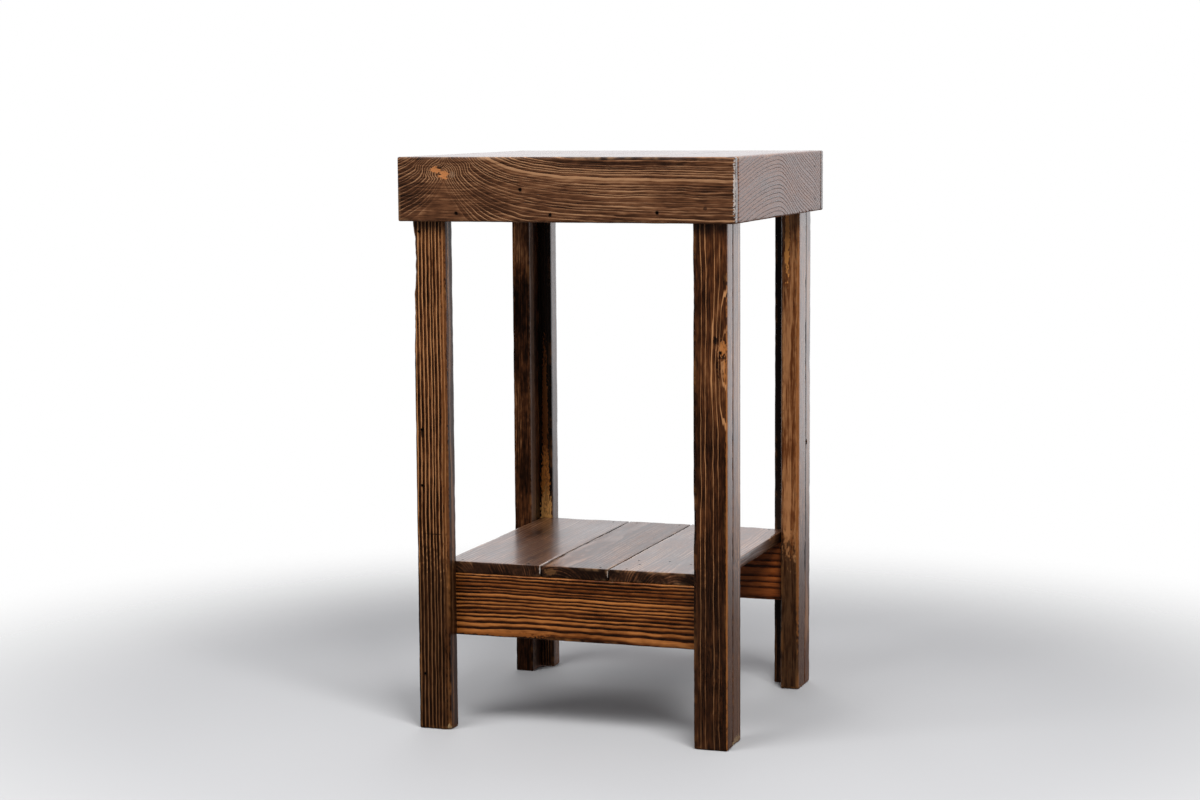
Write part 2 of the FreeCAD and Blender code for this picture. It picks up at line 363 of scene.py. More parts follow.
boardDefaults = {
    "outer": 1,            # which way the show face looks along its axis
    "ease": 1.5,           # mm, rounding of the long edges
    "cell": 3.0,           # mm, size of the mesh's faces
    "edgeWear": 0.7,       # mm, how far the edges are rubbed down
    "dents": 0.15,         # mm, hollows over the faces
    "stain": brownStain,
    "heart": (-50, 30),    # mm from the board's middle to the tree's heart, across and through
    "oneSided": False,     # plain wood past the heart
    "ringWidth": 2.6,      # mm
    "uneven": 1.2,         # rings, how much their widths differ
    "wander": 5.0,         # mm, how far the lines stray
    "ripple": 0.7,         # mm, short waves in the lines
    "lineFade": 0.45,      # how much of a line is left where it fades
    "contrast": 0.75,      # how much lighter the lines are
    "ground": 0.2,         # tone between them
    "fibre": 0.5,          # fine streaks
    "blotch": 0.6,         # large clouds in the stain
    "mottle": 0.5,         # and small ones
    "endTone": -0.3,       # how much darker end grain drinks the stain
    "sideTone": 0.0,       # tone added to the narrow faces; the shelf and top planks use it for painted shade in their seams, the front right leg for painted light on its right face
    "sideFade": 0.0,       # how much of the lines the narrow faces lose
    "ridge": 0.16,         # mm, late wood standing proud
    "lateWood": (0.3, 0.86, 0.94),   # shares of a ring where late wood starts, is full and ends
    "toneSpread": 0.6,     # how much the lines differ in strength
    "early": 0.0,          # how dark the first wood after a line is
    "coatGrain": 0.0,      # how far the varnish follows the grain
    "coat": 1.0,           # how much varnish is left
    "coatRoughness": 0.16,
    "filledNails": (),     # (from, to) in mm along, where nails lie hidden under stained filler
    "bends": (),           # (along, rise, reach before, reach after, power)
    "bulges": (),          # (along, across, half length, half width, rings), lines round a knot
    "knots": (),           # (along, across, radius, stretch, ring width, blend)
    "knotLines": 0.6,      # how clearly a knot's own lines show
    "calm": (),            # (along, across, half length, half width) where the lines are lost
    "stainAndShadeSpots": (),           # place and half sizes in mm, raggedness, how much lighter the tone is; some of them are painted shade
    "patches": (),         # place and half sizes in mm, colour, raggedness, strength
    "oldHoles": (),        # (along, across, radius, depth) in mm on the show face
    "edgeHoles": (),       # (along, through, radius, depth, side) in mm on an edge
    "bites": (),           # (along, across, through, half sizes, depth) in mm
}


def boardAxes(board):
    grain = axisNumber[board["grain"]]
    face = axisNumber[board["face"]]
    return grain, 3 - grain - face, face


def onBoard(board, along, across, through):  # mm from the board's middle to a place in the frame
    low, high = board["box"]
    place = (low + high) / 2
    for axis, step in zip(boardAxes(board), (along, across, through)):
        place[axis] += step * mm
    return place


def halfSize(board, way):  # mm, where way 0 is along the grain, 1 across and 2 through
    low, high = board["box"]
    return (high - low)[boardAxes(board)[way]] / mm / 2


def localPoint(tree, board):  # mm along, across and through, from the board's middle
    place = addNode(tree, "Mapping", vector_type="TEXTURE")
    feed(tree, place.inputs["Vector"], addNode(tree, "TexCoord").outputs["Object"])
    feed(tree, place.inputs["Location"], onBoard(board, 0, 0, 0))
    feed(tree, place.inputs["Scale"], (mm, mm, mm))
    parts = split(tree, place.outputs[0])
    return join(tree, *[parts[axis] for axis in boardAxes(board)])


def grainPattern(tree, board, local, name, output="Fac"):
    along, across, seedStep, detail = grainPatterns[name]
    return grainNoise(tree, local, (along, across, across), board["seed"] + seedStep, detail, output)


def evenPattern(tree, board, local, name):  # the same, but from -0.5 to 0.5
    return calc(tree, "SUBTRACT", grainPattern(tree, board, local, name), 0.5)


def bellCurve(tree, reach, power):  # 1 in the middle, falling to 0
    return calc(tree, "EXPONENT", calc(tree, "MULTIPLY", calc(tree, "POWER", reach, power), -1.0))


def bendAt(board, along):  # how far the lines rise at a place along the board
    rise = 0.0
    for at, height, before, after, power in board["bends"]:
        reach = max(along - at, 0) / after + max(at - along, 0) / before
        rise += height * math.exp(-reach ** power)
    return rise


def bendNodes(tree, board, along):  # the same in nodes
    rise = 0.0
    for at, height, before, after, power in board["bends"]:
        ahead = calc(tree, "SUBTRACT", along, at)
        past = calc(tree, "DIVIDE", calc(tree, "MAXIMUM", ahead, 0.0), after)
        short = calc(tree, "DIVIDE", calc(tree, "MINIMUM", ahead, 0.0), -before)
        bell = bellCurve(tree, calc(tree, "ADD", past, short), power)
        rise = calc(tree, "MULTIPLY_ADD", bell, height, rise)
    return rise


def strayed(tree, board, local):  # the place after the lines' long and short waves
    middle = (0.5, 0.5, 0.5)
    sway = vectorCalc(tree, "SUBTRACT", grainPattern(tree, board, local, "sway", "Color"), middle)
    ripple = vectorCalc(tree, "SUBTRACT", grainPattern(tree, board, local, "ripple", "Color"), middle)
    along, across, through = split(tree, local)
    _, swayAcross, swayThrough = split(tree, sway)
    _, rippleAcross, rippleThrough = split(tree, ripple)
    across = calc(tree, "MULTIPLY_ADD", swayAcross, board["wander"] * 2, across)
    across = calc(tree, "MULTIPLY_ADD", rippleAcross, board["ripple"] * 2, across)
    through = calc(tree, "MULTIPLY_ADD", swayThrough, board["wander"] * 2, through)
    through = calc(tree, "MULTIPLY_ADD", rippleThrough, board["ripple"] * 2, through)
    return along, across, through


def ringAt(board, along, across):  # about which ring the show face has at a place
    heartAcross, heartThrough = board["heart"]
    out = across - heartAcross - bendAt(board, along)
    if board["oneSided"]:
        out = max(out, 0)
    deep = halfSize(board, 2) * board["outer"] - heartThrough
    lift = sum(bulge[4] for bulge in board["bulges"])
    return math.hypot(out, deep) / board["ringWidth"] + board["uneven"] + lift


def ringNumber(tree, board, local):  # rings counted out from the heart, where they show, and the knots
    along, across, through = strayed(tree, board, local)
    heartAcross, heartThrough = board["heart"]
    out = calc(tree, "SUBTRACT", across, heartAcross)
    out = calc(tree, "SUBTRACT", out, bendNodes(tree, board, along))
    lined = 1.0
    if board["oneSided"]:
        lined = softStep(tree, out, *grainLook["plainHeart"], grainLook["plainLines"])
        out = calc(tree, "SMOOTH_MAX", out, 0.0, grainLook["heartBlend"])
    deep = calc(tree, "SUBTRACT", through, heartThrough)
    radius = vectorCalc(tree, "LENGTH", join(tree, out, deep, 0.0))
    rings = calc(tree, "DIVIDE", radius, board["ringWidth"])
    widths = addNode(tree, "TexNoise", noise_dimensions="1D")
    step = board["seed"] * grainLook["unevenStep"]
    feed(tree, widths.inputs["W"], calc(tree, "MULTIPLY_ADD", radius, grainLook["unevenScale"], step))
    feed(tree, widths.inputs["Scale"], 1.0)
    rings = calc(tree, "MULTIPLY_ADD", widths.outputs["Fac"], board["uneven"] * 2, rings)
    for at, side, halfLength, halfWidth, lift in board["bulges"]:
        ahead = calc(tree, "DIVIDE", calc(tree, "SUBTRACT", along, at), halfLength)
        aside = calc(tree, "DIVIDE", calc(tree, "SUBTRACT", across, side), halfWidth)
        far = vectorCalc(tree, "LENGTH", join(tree, ahead, aside, 0.0))
        rings = calc(tree, "MULTIPLY_ADD", bellCurve(tree, far, 2.0), lift, rings)
    inKnot = 0.0
    for at, side, size, stretch, ringWidth, blend in board["knots"]:
        ahead = calc(tree, "DIVIDE", calc(tree, "SUBTRACT", along, at), stretch)
        aside = calc(tree, "SUBTRACT", across, side)
        far = vectorCalc(tree, "LENGTH", join(tree, ahead, aside, 0.0))
        swirl = evenPattern(tree, board, local, "swirl")
        far = calc(tree, "MULTIPLY_ADD", swirl, grainLook["swirl"] / stretch, far)
        first = ringAt(board, at, side) - size / ringWidth
        knot = calc(tree, "MULTIPLY_ADD", far, 1 / ringWidth, first)
        rings = calc(tree, "SMOOTH_MIN", rings, knot, blend)
        rim, core = [size * share for share in grainLook["knotRim"]]
        inKnot = calc(tree, "MAXIMUM", inKnot, softStep(tree, far, rim, core, 0.0, board["knotLines"]))
    return rings, lined, inKnot


def spotMask(tree, local, centre, half, ragged, edge):  # 1 inside a ragged oval, 0 outside
    offset = vectorCalc(tree, "DIVIDE", vectorCalc(tree, "SUBTRACT", local, centre), half)
    inside = calc(tree, "SUBTRACT", 1.0, vectorCalc(tree, "LENGTH", offset))
    return softStep(tree, calc(tree, "ADD", inside, ragged), 0.0, edge)


def ringLines(tree, board, local, sideOn):  # place in the ring, late wood, what shows, and lines
    rings, lined, inKnot = ringNumber(tree, board, local)
    part = calc(tree, "FRACT", rings)
    starts, full, ends = board["lateWood"]
    late = softStep(tree, part, starts, full)
    late = calc(tree, "MULTIPLY", late, softStep(tree, part, ends, 1.0, 1.0, 0.0))
    ringTone = addNode(tree, "TexWhiteNoise", noise_dimensions="1D")
    feed(tree, ringTone.inputs["W"], calc(tree, "ADD", calc(tree, "FLOOR", rings), board["seed"]))
    weakest = grainLook["strongest"] - board["toneSpread"]
    toned = calc(tree, "MULTIPLY_ADD", ringTone.outputs["Value"], board["toneSpread"], weakest)
    shows = grainPattern(tree, board, local, "fade")
    shows = softStep(tree, shows, *grainLook["fadeRange"], board["lineFade"], 1.0)
    shows = calc(tree, "MAXIMUM", calc(tree, "MULTIPLY", shows, lined), inKnot)
    shows = calc(tree, "MULTIPLY", shows, calc(tree, "MULTIPLY_ADD", sideOn, -board["sideFade"], 1.0))
    line = calc(tree, "MULTIPLY", calc(tree, "MULTIPLY", late, toned), shows)
    return part, late, shows, line


# the stain with its patches, rubbed wear and the dark round holes; some patches and the hole dark are
# painted shade
def stainAndShadeColour(tree, board, local, loose, tone, holes):
    stain = board["stain"]
    shades = [stain[name] for name in ("deep", "dark", "mid", "light")]
    colour = colourRamp(tree, tone, list(zip(grainLook["stainStops"], shades)))
    for place, half, patchColour, rough, strength in board["patches"]:
        ragged = calc(tree, "MULTIPLY", loose, rough)
        mask = spotMask(tree, local, place, half, ragged, grainLook["patchEdge"])
        colour = mixColour(tree, calc(tree, "MULTIPLY", mask, strength), colour, patchColour)
    wear = addNode(tree, "Attribute", attribute_name="wear").outputs["Fac"]
    rubbed = calc(tree, "MULTIPLY", wear, grainLook["wornShare"])
    colour = mixColour(tree, rubbed, colour, stain["worn"])
    # the dark round nail holes: painted shade in the hole and a stain ring round it
    if holes:
        gaps = [vectorCalc(tree, "DISTANCE", local, hole) for hole in holes]
        nearest = gaps[0]
        for gap in gaps[1:]:
            nearest = calc(tree, "MINIMUM", gap, nearest)
        nearest = calc(tree, "MULTIPLY_ADD", loose, -grainLook["holeRagged"], nearest)
        holeShadeAndStainShare = softStep(tree, nearest, *grainLook["holeReach"], grainLook["holeShare"], 0.0)
        colour = mixColour(tree, holeShadeAndStainShare, colour, holeShadeAndStain)
    return colour


def grainBump(tree, height, strength=1.0):
    bump = addNode(tree, "Bump")
    feed(tree, bump.inputs["Height"], height)
    feed(tree, bump.inputs["Distance"], mm)
    feed(tree, bump.inputs["Strength"], strength)
    return bump.outputs[0]


def woodMaterial(board, holes):
    material = bpy.data.materials.new(board["node"] + "_wood")
    material.use_nodes = True
    tree = material.node_tree
    shader = tree.nodes["Principled BSDF"]
    local = localPoint(tree, board)
    swing = grainLook["raggedSwing"]
    loose = calc(tree, "MULTIPLY_ADD", grainPattern(tree, board, local, "ragged"), swing, -swing / 2)
    looks = split(tree, addNode(tree, "TexCoord").outputs["Normal"])
    endOn, sideOn = [softStep(tree, calc(tree, "ABSOLUTE", looks[axis]), *grainLook["facing"])
                     for axis in boardAxes(board)[:2]]
    part, late, shows, line = ringLines(tree, board, local, sideOn)
    for along, across, halfLength, halfWidth in board["calm"]:
        half = (halfLength, halfWidth, grainLook["calmDepth"])
        lost = spotMask(tree, local, (along, across, 0), half, loose, grainLook["calmEdge"])
        left = calc(tree, "MULTIPLY_ADD", lost, -grainLook["calmLoss"], 1.0)
        line = calc(tree, "MULTIPLY", line, left)
    fibre = evenPattern(tree, board, local, "fibre")
    blotch = evenPattern(tree, board, local, "blotch")
    mottle = evenPattern(tree, board, local, "mottle")
    tone = calc(tree, "MULTIPLY_ADD", line, board["contrast"], board["ground"])
    tone = calc(tree, "MULTIPLY_ADD", fibre, board["fibre"], tone)
    tone = calc(tree, "MULTIPLY_ADD", blotch, board["blotch"], tone)
    tone = calc(tree, "MULTIPLY_ADD", mottle, board["mottle"], tone)
    if board["early"]:
        early = softStep(tree, part, 0.0, board["lateWood"][0], -board["early"], 0.0)
        tone = calc(tree, "MULTIPLY_ADD", early, shows, tone)
    # lighter and darker spots of stain, some of them painted shade
    for place, half, rough, lighter in board["stainAndShadeSpots"]:
        ragged = calc(tree, "MULTIPLY", loose, rough)
        mask = spotMask(tree, local, place, half, ragged, grainLook["stainAndShadeSpotEdge"])
        tone = calc(tree, "MULTIPLY_ADD", mask, lighter, tone)
    tone = calc(tree, "MULTIPLY_ADD", endOn, board["endTone"], tone)
    tone = calc(tree, "MULTIPLY_ADD", sideOn, board["sideTone"], tone)
    feed(tree, shader.inputs["Base Color"], stainAndShadeColour(tree, board, local, loose, tone, holes))
    gloss = calc(tree, "MULTIPLY_ADD", line, varnish["lineGloss"], varnish["roughness"])
    gloss = calc(tree, "MULTIPLY_ADD", blotch, varnish["blotchGloss"], gloss)
    gloss = calc(tree, "MULTIPLY_ADD", fibre, varnish["fibreGloss"], gloss)
    feed(tree, shader.inputs["Roughness"], gloss)
    height = calc(tree, "MULTIPLY", late, board["ridge"])
    height = calc(tree, "MULTIPLY_ADD", fibre, varnish["fibreHeight"], height)
    feed(tree, shader.inputs["Normal"], grainBump(tree, height))
    if board["coatGrain"]:
        feed(tree, shader.inputs["Coat Normal"], grainBump(tree, height, board["coatGrain"]))
    shader.inputs["Specular IOR Level"].default_value = varnish["specular"]
    shader.inputs["Coat Weight"].default_value = board["coat"]
    shader.inputs["Coat Roughness"].default_value = board["coatRoughness"]
    shader.inputs["Coat IOR"].default_value = varnish["coatIor"]
    return material


# Nails: where they stand is read from the frame

nailGroups = ("apron_nails", "leg_nails", "top_nails", "shelf_nails")
nailPocket = {"clear": 0.05, "deep": 1.3, "out": 3.0, "segments": 16}   # mm, around a sunk head


def fastenerSpots(node):  # one entry a fastener: middle of its head, axis, way it looks, head radius
    shape = bmesh.new()
    shape.from_mesh(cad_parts[node].data)
    bmesh.ops.remove_doubles(shape, verts=shape.verts, dist=mm / 1000)
    seen = set()
    spots = []
    for first in shape.verts:
        if first in seen:
            continue
        seen.add(first)
        group = [first]
        for vert in group:  # grows while it runs
            for edge in vert.link_edges:
                other = edge.other_vert(vert)
                if other not in seen:
                    seen.add(other)
                    group.append(other)
        low = Vector([min(v.co[i] for v in group) for i in range(3)])
        high = Vector([max(v.co[i] for v in group) for i in range(3)])
        size = high - low
        axis = max(range(3), key=lambda i: size[i])
        head = (low + high) / 2
        way = 1 if axis == 2 or head[axis] > 0 else -1
        head[axis] = high[axis] if way > 0 else low[axis]
        spots.append((head, axis, way, min(size) / 2))
    shape.free()
    return spots


nailSpots = [spot for node in nailGroups for spot in fastenerSpots(node)]
print("nails found:", len(nailSpots))

# Boards

wearLook = {                  # scales are to the metre
    "dentScale": 16,
    "rubScale": (38, 120),    # coarse and fine rubbing of the edges
    "rubFine": 0.6,           # share of the fine rubbing
    "rubMore": 0.15,
    "rubReach": 5,            # mm from an edge
    "rubSteps": (3.1, 1.7, 0.9),    # how the noise moves on from board to board
    "biteScale": 150,
    "biteEven": 0.8,          # share of a bite's depth that is sure, and share that varies
    "biteUneven": 0.5,
    "paleScale": (30, 160),   # coarse and fine, where the stain is rubbed off
    "paleFine": 0.7,
    "paleGain": 1.6,
    "paleLess": 0.1,
    "paleReach": 3.2,         # mm from an edge
    "paleSteps": (2.3, 1.1, 4.7),
    "easeSegments": 3,
    "sharpAngle": 40,         # degrees, over which an edge is drawn sharp
}


def nailsIn(board):
    low, high = board["box"]
    return [s for s in nailSpots if all(low[i] <= s[0][i] <= high[i] for i in range(3))]


def pocketCutter(cutter, place, axis, way, radius, inward):  # metres
    outward = nailPocket["out"] * mm
    direction = Vector((0, 0, 0))
    direction[axis] = way
    turn = direction.to_track_quat("Z", "Y").to_matrix().to_4x4()
    middle = place + direction * (outward - inward) / 2
    bmesh.ops.create_cone(cutter, cap_ends=True, segments=nailPocket["segments"], radius1=radius,
                          radius2=radius, depth=inward + outward,
                          matrix=Matrix.Translation(middle) @ turn)


def runsAlong(edge, axis):
    step = edge.verts[0].co - edge.verts[1].co
    return abs(step[axis]) > edge.calc_length() * 0.999   # but for rounding


def boardShape(board):
    low, high = board["box"]
    bm = bmesh.new()
    bmesh.ops.create_cube(bm, size=1)
    bmesh.ops.scale(bm, vec=high - low, verts=bm.verts)
    bmesh.ops.translate(bm, vec=(low + high) / 2, verts=bm.verts)
    bmesh.ops.bevel(bm, geom=bm.edges[:], offset=board["ease"] * mm, offset_type="OFFSET",
                    affect="EDGES", segments=wearLook["easeSegments"], profile=0.5, material=-1)
    for axis in range(3):
        along = [edge for edge in bm.edges if runsAlong(edge, axis)]
        cuts = round(along[0].calc_length() / (board["cell"] * mm)) - 1
        if cuts > 0:
            bmesh.ops.subdivide_edges(bm, edges=along, cuts=cuts, use_grid_fill=True)
    return bm


def edgeNearness(board, place, reach):  # 1 on an edge of the board, 0 further than reach from all
    low, high = board["box"]
    gaps = sorted(min(place[i] - low[i], high[i] - place[i]) for i in range(3))
    return max(0.0, 1 - gaps[1] / (reach * mm))


def ownShift(board, steps):  # moves the noise on for each board
    return Vector([board["seed"] * step for step in steps])


def rubbing(place, shift, scale, fineShare):
    coarse, fine = scale
    return noise.noise(place * coarse + shift) + fineShare * noise.noise(place * fine + shift)


def biteDepth(board, place, shift):  # mm
    middle = onBoard(board, 0, 0, 0)
    local = [(place - middle)[axis] / mm for axis in boardAxes(board)]
    deep = 0.0
    for along, across, through, halfSizes, depth in board["bites"]:
        steps = [(p - q) / h for p, q, h in zip(local, (along, across, through), halfSizes)]
        inside = 1 - sum(s * s for s in steps)
        if inside > 0:
            swing = wearLook["biteUneven"] * noise.noise(place * wearLook["biteScale"] + shift)
            deep += depth * inside * (wearLook["biteEven"] + swing)
    return deep


def wearDown(board, bm):  # hollows, rubbed edges and bites, all inwards
    shift = ownShift(board, wearLook["rubSteps"])
    bm.normal_update()
    moves = []
    for vert in bm.verts:
        near = edgeNearness(board, vert.co, wearLook["rubReach"])
        deep = board["dents"] * (0.5 + 0.5 * noise.noise(vert.co * wearLook["dentScale"] + shift))
        rub = rubbing(vert.co, shift, wearLook["rubScale"], wearLook["rubFine"])
        deep += near * near * board["edgeWear"] * max(0.0, rub + wearLook["rubMore"])
        if board["bites"]:
            deep += biteDepth(board, vert.co, shift)
        moves.append(vert.normal * (-deep * mm))
    for vert, move in zip(bm.verts, moves):
        vert.co += move


def cutPockets(piece, board):  # sunk nails and empty old nail holes
    cutter = bmesh.new()
    axes = boardAxes(board)
    middle = onBoard(board, 0, 0, 0)
    holes = []
    for head, axis, way, radius in nailsIn(board):
        local = [(head - middle)[a] / mm for a in axes]
        if any(start <= local[0] <= end for start, end in board["filledNails"]):
            continue
        wide = radius + nailPocket["clear"] * mm
        pocketCutter(cutter, head, axis, way, wide, nailPocket["deep"] * mm)
        holes.append(local)
    shown = halfSize(board, 2) * board["outer"]
    for along, across, radius, depth in board["oldHoles"]:
        place = onBoard(board, along, across, shown)
        pocketCutter(cutter, place, axes[2], board["outer"], radius * mm, depth * mm)
        holes.append([along, across, shown])
    for along, through, radius, depth, side in board["edgeHoles"]:
        edge = halfSize(board, 1) * side
        place = onBoard(board, along, edge, through)
        pocketCutter(cutter, place, axes[1], side, radius * mm, depth * mm)
        holes.append([along, edge, through])
    if holes:
        mesh = bpy.data.meshes.new("pockets")
        cutter.to_mesh(mesh)
        tool = bpy.data.objects.new("pockets", mesh)
        scene.collection.objects.link(tool)
        cut = piece.modifiers.new("pockets", "BOOLEAN")
        cut.operation = "DIFFERENCE"
        cut.solver = "EXACT"
        cut.object = tool
        bpy.context.view_layer.update()
        shaped = piece.evaluated_get(bpy.context.evaluated_depsgraph_get())
        piece.data = bpy.data.meshes.new_from_object(shaped)
        piece.modifiers.clear()
        bpy.data.objects.remove(tool)
    cutter.free()
    return holes


def markWear(piece, board):  # where the material shows the stain rubbed off
    shift = ownShift(board, wearLook["paleSteps"])
    values = []
    for vert in piece.data.vertices:
        near = edgeNearness(board, vert.co, wearLook["paleReach"])
        rub = rubbing(vert.co, shift, wearLook["paleScale"], wearLook["paleFine"])
        pale = max(0.0, rub * wearLook["paleGain"] - wearLook["paleLess"])
        values.append(min(1.0, near * pale))
    wear = piece.data.attributes.new("wear", "FLOAT", "POINT")
    wear.data.foreach_set("value", values)


def makeBoard(look):
    board = {**boardDefaults, **look}
    board["box"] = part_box(board["node"])
    bm = boardShape(board)
    wearDown(board, bm)
    mesh = bpy.data.meshes.new(board["node"] + "_board")
    bm.to_mesh(mesh)
    bm.free()
    piece = bpy.data.objects.new(board["node"] + "_board", mesh)
    scene.collection.objects.link(piece)
    holes = cutPockets(piece, board)
    markWear(piece, board)
    piece.data.shade_smooth()
    piece.data.set_sharp_from_angle(angle=math.radians(wearLook["sharpAngle"]))
    piece.data.materials.clear()
    piece.data.materials.append(woodMaterial(board, holes))
    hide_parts(board["node"])
    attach(piece, "root")


# Apron boards

knotTan = tint(196, 126, 74)
# near black, for knots, and for painted shade on the front right leg
knotAndShadeDark = tint(20, 11, 6)
fillerBrown = tint(46, 27, 17)
# near white flecks along an edge and at the front ends of seams
nearWhiteFleck = tint(214, 204, 196)

apronFront = dict(
    node="apron_front", slot="apron_wood", grain="x", face="y", outer=-1, seed=1, cell=2.4,
    coatGrain=0.4, heart=(-86, 22), oneSided=True, ringWidth=3.5, wander=4.0, ripple=1.2,
    lineFade=0.4, fibre=1.0, ease=2, lateWood=(0.52, 0.86, 0.95), contrast=0.72, ground=0.34,
    mottle=0.5, filledNails=((-400, 400),),
    bends=((-136, 40, 24, 22, 1.0), (-136, 40, 150, 75, 1.0)),
    knots=((-139, 18, 5, 1.5, 1.7, 1.5),), calm=((-134, -16, 16, 14),), early=0.1,
    stainAndShadeSpots=(
        ((-180, -4, -6), (34, 40, 20), 0.5, -0.13),
        ((-134, -14, -6), (20, 18, 20), 0.5, 0.1),
        ((50, 31, -6), (170, 12, 20), 0.4, -0.14),
    ),
    patches=(
        ((-146, 21, -6), (6, 3.4, 6), knotTan, 1.2, 0.9),
        ((-136, 16, -6), (6.5, 5, 6), knotTan, 1.2, 0.9),
        ((-126, 16, -6), (4, 3.5, 6), tint(142, 112, 88), 0.8, 0.5),
        ((-141, 23, -6), (4, 1, 6), knotAndShadeDark, 1.0, 0.9),
        ((158, -19, -6), (2.4, 2.4, 6), fillerBrown, 0.8, 0.8),
        ((189.5, 4, -6), (1.3, 34, 3), nearWhiteFleck, 1.6, 0.7),
    ),
    oldHoles=(
        (-48, 0, 1.5, 5),
        (-122, -25.4, 1.3, 5),
        (-14, -26.7, 1.3, 3),
        (105.4, -23.7, 1.5, 5),
    ),
    bites=(
        (-138, 17, -6, (12, 8, 5), 0.7),
        (189, 20, -6, (4, 5, 4), 1.2),
        (189, -8, -6, (4, 9, 4), 0.9),
    ),
)
makeBoard(apronFront)

apronBack = dict(
    node="apron_back", slot="apron_wood", grain="x", face="y", seed=2, heart=(-58, -26),
    ringWidth=3.2, oneSided=True, coatGrain=0.4, bends=((60, 24, 80, 70, 2.0),),
    knots=((-84, 6, 7, 1.6, 1.6, 2.0),), ease=2, contrast=0.6, ground=0.32,
    patches=(((-84, 6, 6), (6, 4, 6), tint(60, 32, 16), 1.2, 0.8),),
)
makeBoard(apronBack)

apronRight = dict(
    node="apron_right", slot="apron_wood", grain="y", face="x", seed=3, cell=2.4, coatGrain=1.0,
    coat=0.62, stain=plumStain, heart=(-95, -16), ringWidth=4.2, wander=2.0, ripple=0.5,
    lineFade=0.8, uneven=0.5, ease=2, lateWood=(0.55, 0.8, 0.92), contrast=-0.3, ground=0.58,
    ridge=0.32, filledNails=((-400, 0),), bends=((-14, 42, 190, 78, 2.0), (205, -60, 44, 40, 1.0)),
    calm=((108, -8, 26, 26),),
)
makeBoard(apronRight)

apronLeft = dict(
    node="apron_left", slot="apron_wood", grain="y", face="x", outer=-1, seed=4, heart=(-60, 24),
    ease=2, ringWidth=3.4, coatGrain=0.4, contrast=0.6, ground=0.32,
    bends=((40, 30, 90, 120, 2.0),),
)
makeBoard(apronLeft)
print("apron boards made")

# Legs: a face strip to the front or back, and a side strip behind it

shadowBrown = tint(13, 8, 6)
bareWood = tint(198, 172, 128)
amber = tint(182, 112, 52)

frontLeftLegFace = dict(
    node="front_left_leg_face", slot="leg_wood", grain="z", face="y", outer=-1, seed=5, ease=2,
    coat=0.1, stain=umberStain, heart=(-36, 10), ringWidth=3.4, wander=1.2, ripple=0.5, uneven=0.4,
    lineFade=0.7, lateWood=(0.58, 0.85, 0.95), contrast=0.74, ground=0.29, fibre=1.0, mottle=0.8,
    # the darker top, under the apron, is painted shade
    toneSpread=0.3, early=0.22, stainAndShadeSpots=(((298, 0, -11), (34, 40, 20), 0.5, -0.22),),
    patches=(
        ((0, 16, -11), (330, 4, 6), tint(140, 86, 46), 0.9, 0.45),
        ((226, -17, -11), (70, 3.4, 8), tint(48, 25, 13), 0.6, 0.6),
        # painted shade on the narrow face that looks into the table
        ((0, 19, 4), (330, 3, 12), tint(44, 24, 13), 0.3, 0.6),
        # painted shade, darker towards the foot
        ((-240, 0, 0), (150, 60, 60), tint(30, 15, 7), 0.5, 0.6),
        ((-308, 17, -11), (4, 3, 5), bareWood, 1.0, 0.9),
        ((-91, 0, -11), (0.6, 12, 6), knotAndShadeDark, 0.5, 0.9),
        ((22, -10.5, -11), (6, 2.2, 6), knotAndShadeDark, 0.8, 0.85),
    ),
    bites=(
        (213, -19, -4, (40, 6, 18), 5.0),
        (156, -19, -4, (46, 5, 18), 1.5),
        (-311, 18, -10, (5, 6, 5), 1.4),
    ),
)
makeBoard(frontLeftLegFace)

frontRightLegFace = dict(
    node="front_right_leg_face", slot="leg_wood", grain="z", face="y", outer=-1, seed=6, ease=2,
    stain=umberStain, heart=(-60, 12), ringWidth=7.5, wander=3.0, ripple=0.8, uneven=0.8,
    lineFade=0.5, lateWood=(0.8, 0.92, 0.97), contrast=0.8, ground=0.24, fibre=1.0, blotch=0.9,
    mottle=0.6, toneSpread=0.4, filledNails=((-400, 0), (200, 400)),
    bulges=((113, 16, 58, 11, 1.9),), knots=((118, 14, 6, 1.7, 2.6, 0.5),), knotLines=0.8,
    # the lighter narrow faces are painted light on the leg's right face
    sideFade=0.85, sideTone=0.2,
    stainAndShadeSpots=(
        ((123, 13, -11), (9, 6.5, 6), 1.3, 0.5),
        ((104, 15, -11), (16, 2.4, 6), 1.0, 0.4),
        ((131, 6, -11), (6, 4.4, 6), 1.2, -0.4),
        ((114, 11, -11), (4, 3, 6), 0.9, -0.4),
        ((102, 9, -11), (14, 3, 6), 0.9, -0.5),
        ((-252, 8, -11), (46, 7, 6), 0.9, 0.24),
        ((-214, -6, -11), (34, 8, 6), 0.9, -0.2),
    ),
    patches=(
        # painted shade: the top of the leg, under the apron
        ((300, 0, -11), (14, 30, 20), knotAndShadeDark, 0.9, 0.7),
        # painted shade along the rounded left edge
        ((0, -19, -11), (320, 3.4, 6), knotAndShadeDark, 0.5, 0.85),
        # painted shade, darker towards the foot
        ((-240, 0, 0), (150, 60, 60), tint(26, 13, 6), 0.5, 0.45),
        ((122, 14, -11), (8, 4.5, 6), amber, 1.4, 0.7),
        ((113, 14.5, -11), (1.8, 1.8, 6), knotAndShadeDark, 0.8, 0.9),
        ((98, 16, -11), (16, 1.1, 6), amber, 0.9, 0.6),
        ((132, 6, -11), (3.6, 2.4, 6), knotAndShadeDark, 1.3, 0.75),
        ((-100, 18.4, -11), (330, 1.3, 2.5), amber, 0.5, 0.75),
    ),
    bites=(
        (126, 8, -11, (8, 5, 5), 0.7),
        (-60, -19, -11, (30, 4, 5), 1.0),
        (180, -19, -11, (36, 3, 5), 0.8),
    ),
)
makeBoard(frontRightLegFace)

